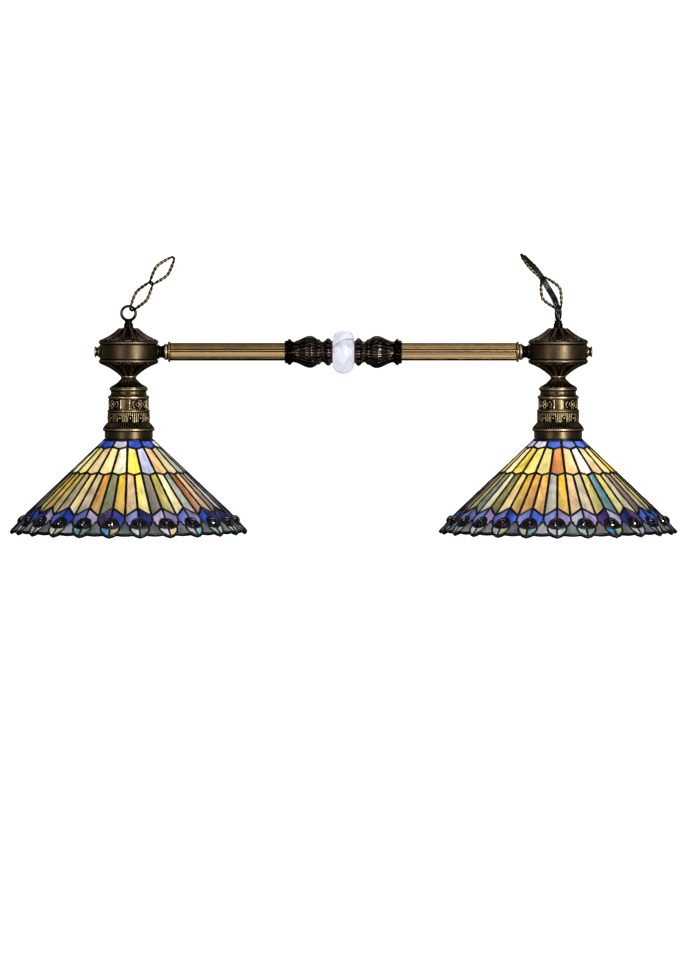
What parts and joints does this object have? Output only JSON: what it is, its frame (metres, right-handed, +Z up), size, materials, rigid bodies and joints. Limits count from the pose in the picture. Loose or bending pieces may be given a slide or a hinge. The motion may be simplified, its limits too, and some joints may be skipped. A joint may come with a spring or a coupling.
{
  "type": "pool table lamp",
  "caption": "Hanging bar light for a pool table: a brass bar with stained glass cone shades on chains.",
  "frame": {"origin": "on the plane of the shade rims, straight below the middle of the bar", "axes": "+Z up, X along the bar, -Y the front"},
  "size_m": [1.1162, 0.4006, 0.4696],
  "materials": {
    "antique_brass": "antique brass, brushed, dark in the hollows",
    "golden_brass": "lacquered antique brass",
    "antique_bronze": "cast brass with a dark bronze wash, worn bright on the relief",
    "dark_bronze": "cast brass with a near-black bronze wash",
    "chain_brass": "twisted brass wire, dark in the grooves",
    "steel": "zinc plated",
    "black_metal": "black patina",
    "black_solder": "solder with a black patina",
    "crown_glass": "blue and white streaky stained glass",
    "amber_glass": "cream and amber streaky stained glass",
    "olive_glass": "tan, amber and olive streaky stained glass",
    "petal_glass": "blue and violet streaky stained glass",
    "border_glass": "pale teal, cream and grey stained glass",
    "ruby_glass": "dark ruby cabochon",
    "white_glass": "white swirled opal glass",
    "bulb_glass": "frosted glass",
    "nickel": "nickel plated brass",
    "filament": "wire on a glass stem",
    "porcelain": "glazed white",
    "wire_insulation": "smooth insulation",
    "cord": "three-conductor flat cord",
    "wire_nut_plastic": "moulded"
  },
  "bodies": {
    "lamp_frame": {"arm_pipe": "steel", "arm_spools": "antique_brass", "bar_wires": "wire_insulation", "centre_glass_ring": "white_glass", "end_finials": "antique_brass", "jewels": "ruby_glass", "left_border_glass": "border_glass", "left_bottom_cover": "dark_bronze", "left_crown_glass": "crown_glass", "left_drum": "antique_brass", "left_gallery": "antique_bronze", "left_leaf_casting": "dark_bronze", "left_long_glass": "olive_glass", "left_neck_bell": "antique_bronze", "left_petal_glass": "petal_glass", "left_reeded_tube": "golden_brass", "left_shade_lattice": "black_solder", "left_top_cover": "dark_bronze", "left_upper_glass": "amber_glass", "locknuts": "steel", "right_border_glass": "border_glass", "right_bottom_cover": "dark_bronze", "right_crown_glass": "crown_glass", "right_drum": "antique_brass", "right_gallery": "antique_bronze", "right_leaf_casting": "dark_bronze", "right_long_glass": "olive_glass", "right_neck_bell": "antique_bronze", "right_petal_glass": "petal_glass", "right_reeded_tube": "golden_brass", "right_shade_lattice": "black_solder", "right_top_cover": "dark_bronze", "right_upper_glass": "amber_glass", "screw_shells": "golden_brass", "shade_caps": "black_metal", "shade_ring_nuts": "golden_brass", "socket_caps": "golden_brass", "socket_insulators": "porcelain", "socket_leads": "wire_insulation", "socket_shells": "golden_brass", "stem_pipes": "steel", "supply_cord_tail": "cord", "top_nipples": "steel", "tube_end_rings": "golden_brass", "wire_hickeys": "steel", "wire_nuts": "wire_nut_plastic"},
    "left_loop": {"left_loop": "antique_brass"},
    "left_lower_link": {"left_lower_link": "chain_brass"},
    "left_upper_link": {"left_upper_link": "chain_brass"},
    "right_loop": {"right_loop": "antique_brass"},
    "right_lower_link": {"right_lower_link": "chain_brass", "supply_cord_lower": "cord"},
    "right_upper_link": {"right_upper_link": "chain_brass", "supply_cord_upper": "cord"},
    "left_bulb": {"left_bulb_glass": "bulb_glass", "left_bulb_base": "nickel", "left_bulb_filament": "filament"},
    "right_bulb": {"right_bulb_glass": "bulb_glass", "right_bulb_base": "nickel", "right_bulb_filament": "filament"}
  },
  "joints": [
    {"name": "left_loop_swivel", "type": "hinge", "parent": "lamp_frame", "child": "left_loop", "pos_m": [-0.3585, 0, 0.3667], "axis": [0, 0, 1], "range_deg": [-90, 90]},
    {"name": "left_lower_link_swing", "type": "hinge", "parent": "left_loop", "child": "left_lower_link", "pos_m": [-0.3585, 0, 0.3667], "axis": [0, 1, 0], "range_deg": [-120, 45]},
    {"name": "left_upper_link_swing", "type": "hinge", "parent": "left_lower_link", "child": "left_upper_link", "pos_m": [-0.32341, 0, 0.41326], "axis": [0.6118, 0.6428, -0.461], "range_deg": [-45, 45]},
    {"name": "right_loop_swivel", "type": "hinge", "parent": "lamp_frame", "child": "right_loop", "pos_m": [0.3585, 0, 0.3667], "axis": [0, 0, 1], "range_deg": [-90, 90]},
    {"name": "right_lower_link_swing", "type": "hinge", "parent": "right_loop", "child": "right_lower_link", "pos_m": [0.3585, 0, 0.37845], "axis": [0.342, 0.9397, 0], "range_deg": [-55, 110]},
    {"name": "right_upper_link_swing", "type": "hinge", "parent": "right_lower_link", "child": "right_upper_link", "pos_m": [0.33621, 0.00811, 0.41954], "axis": [0.342, 0.9397, 0], "range_deg": [-45, 45]},
    {"name": "left_bulb_unscrew", "type": "slide", "parent": "lamp_frame", "child": "left_bulb", "axis": [0, 0, 1], "range_m": [-0.045, 0]},
    {"name": "right_bulb_unscrew", "type": "slide", "parent": "lamp_frame", "child": "right_bulb", "axis": [0, 0, 1], "range_m": [-0.045, 0]}
  ]
}
